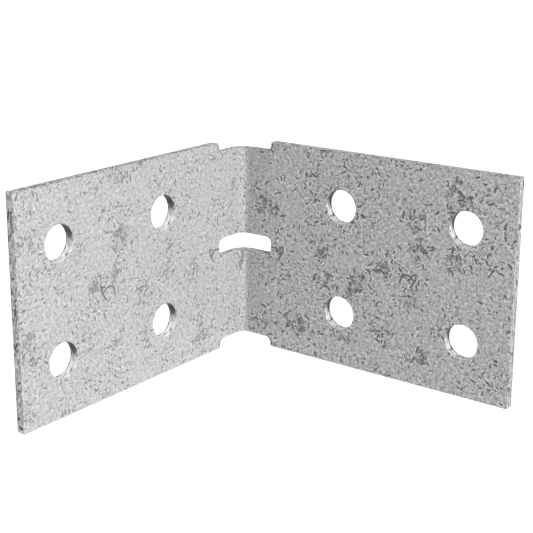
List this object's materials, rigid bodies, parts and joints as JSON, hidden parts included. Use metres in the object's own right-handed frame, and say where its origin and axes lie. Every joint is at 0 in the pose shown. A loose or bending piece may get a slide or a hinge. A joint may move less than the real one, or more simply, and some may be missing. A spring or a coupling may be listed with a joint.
{
  "type": "angle bracket",
  "caption": "Equal-leg right-angle bracket folded from galvanised steel sheet, with a grid of round screw holes in each leg, and a slot and end notches across the bend.",
  "frame": {"origin": "centre of the bounding box at its bottom, on the surface that the cut edges stand on", "axes": "+Z along the bend line; the right leg runs from the bend along +X with its outer face towards +Y, the left leg runs along -Y with its outer face towards -X"},
  "size_m": [0.07, 0.07, 0.048],
  "materials": {
    "galvanised_steel": "hot-dip galvanised, matt, with fine spangle"
  },
  "bodies": {
    "root": {"angle_bracket": "galvanised_steel"}
  },
  "joints": []
}
